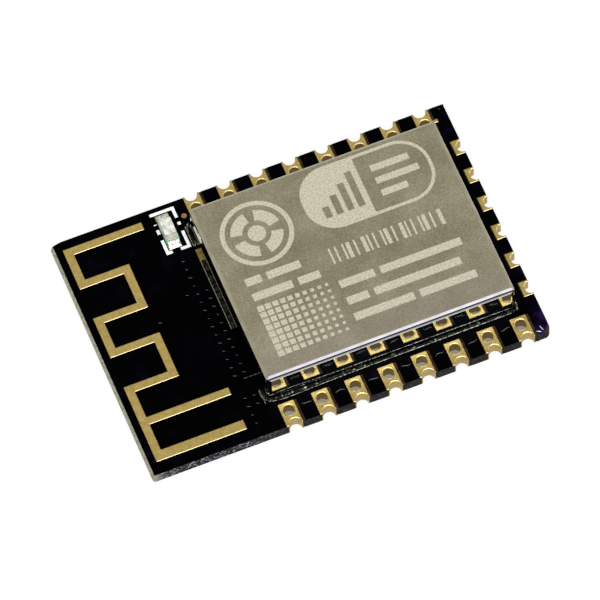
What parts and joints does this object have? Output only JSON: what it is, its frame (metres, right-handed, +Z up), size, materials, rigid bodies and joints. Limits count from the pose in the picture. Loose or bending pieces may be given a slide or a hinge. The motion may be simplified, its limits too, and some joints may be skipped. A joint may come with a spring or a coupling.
{
  "type": "wifi module",
  "caption": "Surface-mount wireless module: black circuit board with plated half-hole edge pads, printed meander antenna, indicator lamp and a soldered metal shield can.",
  "frame": {"origin": "middle of the module's underside, in the plane of the lower lands", "axes": "+X along the board towards the end with the short row of pads, -X towards the antenna; +Y towards the long row beside the lamp; +Z up, out of the shield's top"},
  "size_m": [0.024, 0.016, 0.003],
  "materials": {
    "glass_epoxy": "cut edge of black glass-epoxy laminate, with fibre ends",
    "via_copper": "drawn copper plating",
    "solder_mask": "screened gloss epoxy mask",
    "gold_plate": "immersion gold over nickel, satin",
    "white_ink": "printed epoxy ink",
    "shield_sheet": "bright-rolled nickel silver, satin on top",
    "solder": "reflowed lead-free solder",
    "lamp_resin": "green-tinted resin",
    "lamp_lens": "milky clear epoxy",
    "chip_epoxy": "moulded epoxy, fine matt",
    "tin_plate": "matt tin",
    "ceramic_dark": "fired ceramic",
    "crystal_lid": "gold-flashed seam-welded lid",
    "ceramic_tan": "fired ceramic",
    "resistor_glaze": "black glaze",
    "ferrite": "fired ceramic"
  },
  "bodies": {
    "root": {"substrate": "glass_epoxy", "vias": "via_copper", "solder_mask_top": "solder_mask", "solder_mask_bottom": "solder_mask", "antenna_trace": "gold_plate", "test_land": "gold_plate", "front_pad_1": "gold_plate", "front_pad_2": "gold_plate", "front_pad_3": "gold_plate", "front_pad_4": "gold_plate", "front_pad_5": "gold_plate", "front_pad_6": "gold_plate", "front_pad_7": "gold_plate", "front_pad_8": "gold_plate", "rear_pad_1": "gold_plate", "rear_pad_2": "gold_plate", "rear_pad_3": "gold_plate", "rear_pad_4": "gold_plate", "rear_pad_5": "gold_plate", "rear_pad_6": "gold_plate", "rear_pad_7": "gold_plate", "rear_pad_8": "gold_plate", "end_pad_1": "gold_plate", "end_pad_2": "gold_plate", "end_pad_3": "gold_plate", "end_pad_4": "gold_plate", "end_pad_5": "gold_plate", "end_pad_6": "gold_plate", "printed_frame": "white_ink", "shield_land": "gold_plate", "shield_can": "shield_sheet", "shield_solder": "solder", "lamp_lands": "gold_plate", "lamp_base": "lamp_resin", "lamp_terminals": "gold_plate", "lamp_lens": "lamp_lens", "lamp_solder": "solder", "inner_lands": "gold_plate", "radio_chip": "chip_epoxy", "radio_contacts": "tin_plate", "flash_memory": "chip_epoxy", "flash_leads": "tin_plate", "crystal_base": "ceramic_dark", "crystal_lid": "crystal_lid", "capacitor_bodies": "ceramic_tan", "capacitor_ends": "tin_plate", "resistor_bodies": "resistor_glaze", "resistor_ends": "tin_plate", "inductor_bodies": "ferrite", "inductor_ends": "tin_plate"}
  },
  "joints": []
}
